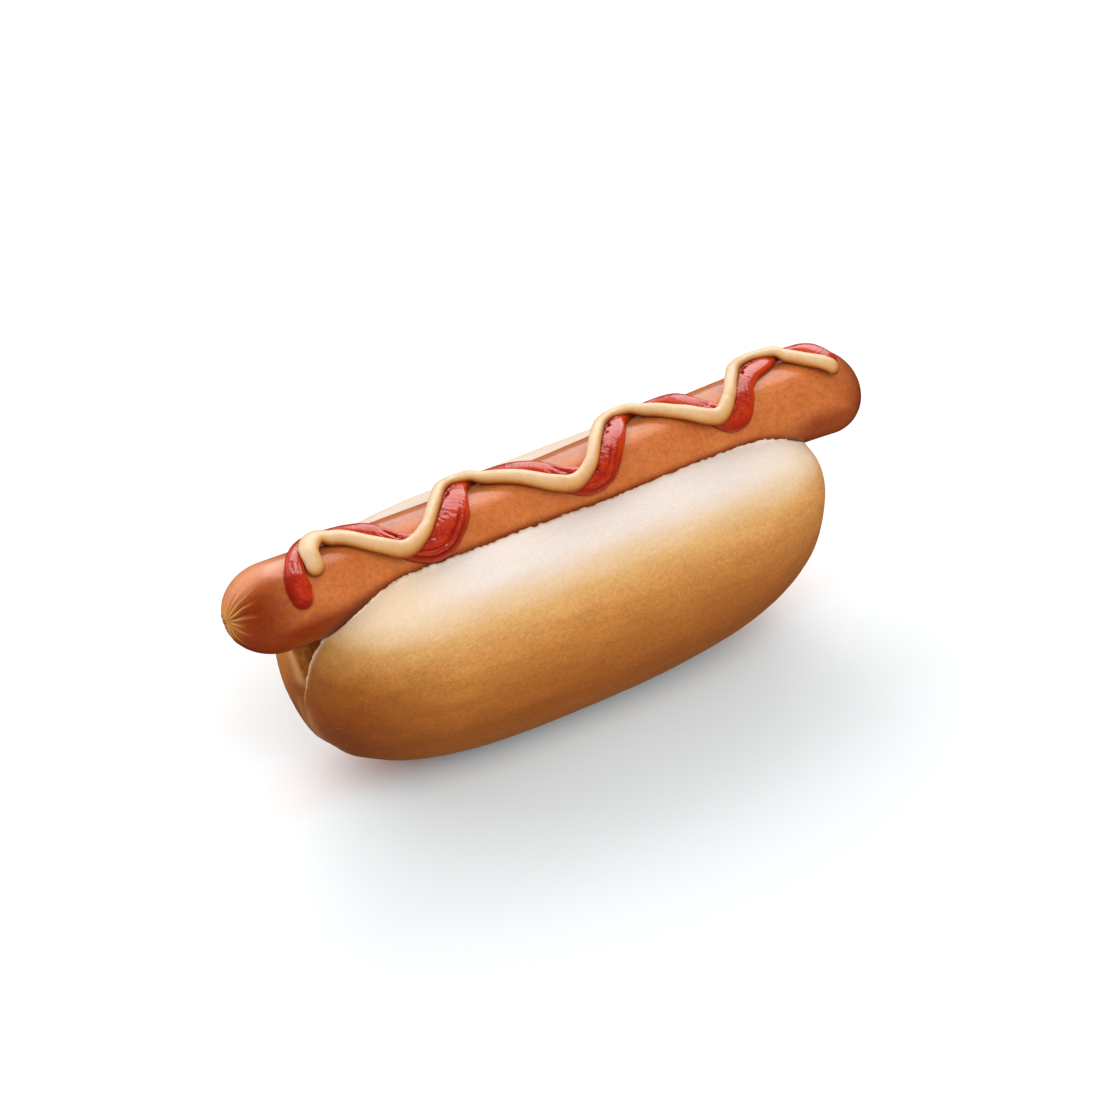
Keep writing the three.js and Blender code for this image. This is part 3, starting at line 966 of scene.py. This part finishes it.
def crust_material():
    nodes = Nodes("bun")
    place = nodes.add("SeparateXYZ", {"Vector": nodes.place()})
    along, across, height = (nodes.times(place.outputs[axis], 1 / MM) for axis in "XYZ")
    blotch = nodes.noise(60, 2, 0.5, (0.4, 1, 1))
    streak = nodes.noise(240, 3, 0.6, (0.3, 1, 1))
    fine = nodes.noise(1250, 2, 0.6, (0.7, 1, 1))
    grit = nodes.noise(3000, 1, 0.5, (0.7, 1, 1))
    calm = nodes.remap(height, 44, 54, 1.0, 0.3)  # the pale top is even and smooth
    # The crust is browned by height, in uneven bands.
    sway = nodes.total(nodes.centred(blotch, 7.0), nodes.centred(streak, 3.0), nodes.centred(fine, 2.0))
    level = nodes.math("DIVIDE", nodes.total(height, nodes.times(sway, calm)), BUN_TOP, clamp=True)
    colour = nodes.ramp(level, [(z / BUN_TOP, shade) for z, shade in CRUST_COLOURS])
    # Painted shade darkens the -X nose, which faces away from the lamps. It is darkest low down and hardly
    # darker at all on the far half.
    nose = nodes.times(
        nodes.remap(along, -44, -68),
        nodes.remap(height, 56, 40, 0.1, 1.0),
        nodes.remap(across, 2, 7, 1.0, 0.05),
    )
    colour = nodes.mix(nose, colour, NOSE_SHADE_COLOUR, "MULTIPLY")
    pale_end = nodes.times(nodes.remap(along, 42, 68), nodes.remap(height, 48, 57))
    colour = nodes.mix(pale_end, colour, PALE_END_COLOUR)
    warm_end = nodes.times(
        nodes.remap(along, -34, -52, 0.0, 0.8),
        nodes.remap(height, 49, 57),
        nodes.remap(across, 0, 4, 1.0, 0.0),
    )
    colour = nodes.mix(warm_end, colour, WARM_END_COLOUR)
    # Painted shade on the far half's top, which the back lamps light strongly.
    far_top_shade = nodes.times(nodes.remap(across, 5, 10), nodes.remap(height, 46, 56))
    colour = nodes.mix(far_top_shade, colour, FAR_TOP_SHADE_COLOUR, "MULTIPLY")
    grain = nodes.total(nodes.centred(fine, 0.5), nodes.centred(streak, 0.36), nodes.centred(grit, 0.5))
    colour = nodes.scaled(colour, nodes.total(nodes.times(grain, calm), 1.0))
    flecks = nodes.times(nodes.dots(3.4, 0.2, 0.45, 0.45), calm)
    colour = nodes.mix(flecks, colour, FLECK_COLOUR)
    colour = nodes.mix(nodes.dots(2.9, 0.2, 0.4, 0.14, seed=4), colour, SPECK_COLOUR)
    colour = nodes.mix(nodes.mask("crease", 0.55), colour, CREASE_COLOUR)
    colour = nodes.mix(nodes.mask("lip", 0.6), colour, LIP_COLOUR)
    # The crumb shows in the slit, and its torn rim is pale; along the near rim at the nose a painted
    # highlight runs.
    pores = nodes.remap(nodes.noise(700, 2, 0.6), 0.35, 0.65, 0.75, 1.05)
    crumb = nodes.mix(nodes.remap(height, 46, 58), CRUMB_COLOUR, CRUMB_TOP_COLOUR)
    # The crumb on the far half's top gets painted shade too.
    crumb = nodes.mix(far_top_shade, crumb, CRUMB_FAR_SHADE_COLOUR)
    # Painted shade: the crumb in the slit at the -X nose is a darker ochre.
    crumb = nodes.mix(nodes.remap(along, -52, -64), crumb, CRUMB_NOSE_SHADE_COLOUR)
    colour = nodes.mix(nodes.mask("crumb"), colour, nodes.scaled(crumb, pores))
    colour = nodes.mix(nodes.mask("pale_rim", 0.75), colour, PALE_RIM_COLOUR)
    relief = nodes.bump(nodes.times(fine, calm), 0.00012, 0.8)
    relief = nodes.bump(nodes.times(streak, calm), 0.0003, 0.7, relief)
    return nodes.set(Base_Color=colour, Roughness=0.68, Specular_IOR_Level=0.14, Normal=relief)


SKIN_COLOURS = screen(201, 107, 49), screen(213, 123, 62)
MOTTLE_COLOUR = screen(186, 82, 44)
SKIN_DARK_DOT = screen(126, 48, 22)
SKIN_PALE_DOT = screen(244, 190, 140)
# What these places multiply the skin's colour by.
# browned ends, with painted shade underneath them and at the pinch
BROWNED_AND_SHADED_COLOUR = (0.42, 0.18, 0.03, 1)
# painted shade where the bread touches it
CONTACT_SHADE_COLOUR = (0.34, 0.15, 0.04, 1)
# painted shade on its far side
FAR_SKIN_SHADE_COLOUR = (0.68, 0.69, 0.72, 1)
# And what these are mixed with.
# a painted highlight on the shoulder at the pinch
SHOULDER_HIGHLIGHT_COLOUR = screen(234, 158, 120)
GATHER_COLOUR = screen(206, 122, 32)
# painted shade in the crimp's furrows, and a painted highlight on its ridges
FURROW_SHADE_COLOUR = screen(92, 34, 6)
RIDGE_HIGHLIGHT_COLOUR = screen(246, 182, 104)


def skin_material():
    nodes = Nodes("sausage")
    broad = nodes.noise(120, 3, 0.55)
    mottle = nodes.noise(420, 2, 0.6, (0.6, 1, 1))
    fine = nodes.noise(900, 3, 0.65)
    colour = nodes.mix(nodes.remap(broad, 0.3, 0.7), *SKIN_COLOURS)
    colour = nodes.mix(nodes.remap(mottle, 0.52, 0.72, 0.0, 0.28), colour, MOTTLE_COLOUR)
    colour = nodes.scaled(colour, nodes.remap(fine, 0.25, 0.75, 0.83, 1.16))
    colour = nodes.mix(nodes.dots(1.2, 0.16, 0.5, 0.5), colour, SKIN_DARK_DOT)
    colour = nodes.mix(nodes.dots(1.1, 0.13, 0.45, 0.3, seed=3), colour, SKIN_PALE_DOT)
    colour = nodes.mix(nodes.mask("browned_and_shaded"), colour, BROWNED_AND_SHADED_COLOUR, "MULTIPLY")
    colour = nodes.mix(nodes.mask("contact_shade"), colour, CONTACT_SHADE_COLOUR, "MULTIPLY")
    colour = nodes.mix(nodes.mask("far"), colour, FAR_SKIN_SHADE_COLOUR, "MULTIPLY")
    colour = nodes.mix(nodes.mask("shoulder_highlight", 0.5), colour, SHOULDER_HIGHLIGHT_COLOUR)
    colour = nodes.mix(nodes.mask("gather", 0.7), colour, GATHER_COLOUR)
    # The crimp's furrows get painted shade and its ridges a painted highlight.
    colour = nodes.mix(nodes.mask("furrow", 0.75), colour, FURROW_SHADE_COLOUR)
    colour = nodes.mix(nodes.mask("ridge", 0.8), colour, RIDGE_HIGHLIGHT_COLOUR)
    relief = nodes.bump(fine, 0.00005, 0.8)
    relief = nodes.bump(broad, 0.0003, 0.5, relief)
    return nodes.set(
        Base_Color=colour,
        Roughness=0.4,
        Specular_IOR_Level=0.1,
        Normal=relief,
        Coat_Weight=0.5,
        Coat_Roughness=0.2,
    )


KETCHUP_COLOURS = screen(166, 28, 3), screen(198, 52, 6)
KETCHUP_EDGE_COLOUR = screen(202, 57, 3)
# painted shade along its outermost rim
KETCHUP_RIM_SHADE_COLOUR = screen(110, 12, 2)
# painted shade in its folds, lower rims and crevices
KETCHUP_SHADE_COLOUR = screen(112, 8, 2)


def ketchup_material():
    nodes = Nodes("ketchup")
    broad = nodes.noise(300, 3, 0.6)
    fine = nodes.noise(2200, 2, 0.6)
    edge = nodes.mask("edge")
    colour = nodes.mix(nodes.remap(broad, 0.3, 0.7), *KETCHUP_COLOURS)
    colour = nodes.scaled(colour, nodes.remap(fine, 0.3, 0.7, 0.72, 1.3))
    colour = nodes.mix(nodes.remap(edge, 0.5, 0.8), colour, KETCHUP_EDGE_COLOUR)
    # Painted shade along its outermost rim, where it meets the skin.
    colour = nodes.mix(nodes.remap(edge, 0.93, 1.0, 0.0, 0.7), colour, KETCHUP_RIM_SHADE_COLOUR)
    # Painted shade in its folds, along the lower rims of its turns, round the drop and beside the mustard.
    colour = nodes.mix(nodes.mask("deep_shade", 0.8), colour, KETCHUP_SHADE_COLOUR)
    return nodes.set(
        Base_Color=colour,
        Roughness=0.3,
        Specular_IOR_Level=0.2,
        Normal=nodes.bump(fine, 0.00016, 0.9),
        Coat_Weight=0.48,
        Coat_Roughness=0.12,
    )


# Of the mustard's painted shade on the side away from the light, its middle tone, its painted light on the
# side towards it, and its specks.
MUSTARD_SHADED_COLOUR = screen(152, 64, 6)
MUSTARD_MID_COLOUR = screen(216, 152, 80)
MUSTARD_LIT_COLOUR = screen(228, 192, 150)
MUSTARD_SPECK_COLOUR = screen(140, 84, 36)


def mustard_material():
    nodes = Nodes("mustard")
    fine = nodes.noise(800, 3, 0.6)
    painted_light = nodes.mask("painted_light")
    # Painted shade away from the lit side, and painted light towards it.
    colour = nodes.mix(nodes.remap(painted_light, -0.5, 0.15), MUSTARD_SHADED_COLOUR, MUSTARD_MID_COLOUR)
    colour = nodes.mix(nodes.remap(painted_light, 0.1, 0.75), colour, MUSTARD_LIT_COLOUR)
    colour = nodes.scaled(colour, nodes.remap(fine, 0.3, 0.7, 0.94, 1.05))
    colour = nodes.mix(nodes.dots(1.5, 0.11, 0.35, 0.45, seed=5), colour, MUSTARD_SPECK_COLOUR)
    return nodes.set(
        Base_Color=colour,
        Roughness=0.4,
        Specular_IOR_Level=0.2,
        Normal=nodes.bump(fine, 0.00005, 0.8),
        Coat_Weight=0.15,
        Coat_Roughness=0.2,
    )


finished(sausage(), "sausage", skin_material())
finished(bun(), "bun", crust_material())
finished(ketchup(), "ketchup", ketchup_material())
finished(mustard(), "mustard", mustard_material())

# ---------------------------------------------------------------- floor, light and camera

FLOOR_SIZE = 6.0  # metres, as are all places from here on
FLOOR_COLOUR = (0.9, 0.9, 0.9, 1)
# A faint cold glow round the bread evens out its warm bounce light, so that the shadow is grey.
GLOW_COLOUR = (0, 0.8, 1, 1)
GLOW_STRENGTH = 0.1
GLOW_SPREAD = {"Location": (0, 0.35, 0), "Scale": (8, 11, 0)}  # it fades over 1/8 m by 1/11 m
GLOW_START = (0.004, 0.012)  # right under the bread, where the floor is darkest, there is none
EULER = 2.718


def floor():
    half = FLOOR_SIZE / 2 / MM
    corners = [(-half, -half, 0), (half, -half, 0), (half, half, 0), (-half, half, 0)]
    made = mesh_object("Floor", corners, [(0, 1, 2, 3)])
    made.visible_glossy = False
    nodes = Nodes("floor")
    distance = nodes.add("VectorMath", {0: nodes.mapped(**GLOW_SPREAD)}, operation="LENGTH").outputs["Value"]
    falloff = nodes.math("POWER", EULER, nodes.times(distance, distance, -1.0))
    beside = nodes.math("ABSOLUTE", nodes.add("SeparateXYZ", {"Vector": nodes.place()}).outputs["Y"])
    glow = nodes.times(falloff, GLOW_STRENGTH, nodes.remap(beside, *GLOW_START))
    made.data.materials.append(
        nodes.set(Base_Color=FLOOR_COLOUR, Roughness=0.9, Emission_Color=GLOW_COLOUR, Emission_Strength=glow)
    )


def aim(thing, place, target):
    """Puts a lamp or the camera at a place, looking at a target."""
    thing.location = place
    heading = Vector(target) - Vector(place)
    thing.rotation_euler = heading.to_track_quat("-Z", "Y").to_euler()


LAMP_TARGET = (0, 0, 0.03)
WORLD_STRENGTH = 0.55  # of the even white light from all round


def towards(azimuth, elevation, distance):
    """The offset of a place that lies in a direction; azimuth 0 is the near side."""
    a, e = radians(azimuth), radians(elevation)
    return Vector((sin(a) * cos(e), -cos(a) * cos(e), sin(e))) * distance


def softbox(name, azimuth, elevation, distance, width, height, watts):
    """A rectangular white lamp that faces the hot dog from a direction."""
    data = bpy.data.lights.new(name, "AREA")
    data.shape = "RECTANGLE"
    data.size = width
    data.size_y = height
    data.energy = watts
    made = bpy.data.objects.new(name, data)
    bpy.context.scene.collection.objects.link(made)
    aim(made, towards(azimuth, elevation, distance), LAMP_TARGET)
    return made


def studio():
    """Lamps that light surfaces alone, and others that only show in glossy ones."""
    softbox("Back", 200, 38, 1.3, 1.8, 1.2, 11).visible_glossy = False
    softbox("Rim", 192, 34, 1.3, 1.6, 1.0, 4.5).visible_diffuse = False
    softbox("Sweep", 150, 30, 1.3, 1.0, 1.2, 6).visible_glossy = False
    softbox("Sheen", 138, 41, 1.3, 1.0, 1.25, 17).visible_diffuse = False
    softbox("Fill", -3, 52, 1.4, 1.1, 1.3, 9).visible_glossy = False
    world = bpy.data.worlds.new("Studio")
    bpy.context.scene.world = world
    world.use_nodes = True
    background = world.node_tree.nodes["Background"]
    background.inputs["Color"].default_value = (1, 1, 1, 1)
    background.inputs["Strength"].default_value = WORLD_STRENGTH
    world.cycles_visibility.glossy = False  # glossy things show the lamps alone, as in a dark studio
    bpy.context.scene.view_settings.view_transform = "Standard"


# The camera that was matched to the photo.
CAMERA_AZIMUTH = -34.05
CAMERA_ELEVATION = 36.38
CAMERA_DISTANCE = 0.91667
CAMERA_TARGET = (0.00312, 0.006, 0.03662)
PICTURE_SIZE = 1100  # pixels, of the square frame that the lens was worked out in
FOCAL_PIXELS = 3729.2
SENSOR_WIDTH = 36


def camera():
    data = bpy.data.cameras.new("Camera")
    data.sensor_width = SENSOR_WIDTH
    data.lens = SENSOR_WIDTH * FOCAL_PIXELS / PICTURE_SIZE
    made = bpy.data.objects.new("Camera", data)
    bpy.context.scene.collection.objects.link(made)
    back = towards(CAMERA_AZIMUTH, CAMERA_ELEVATION, CAMERA_DISTANCE)
    aim(made, Vector(CAMERA_TARGET) + back, CAMERA_TARGET)
    bpy.context.scene.camera = made


floor()
studio()
camera()
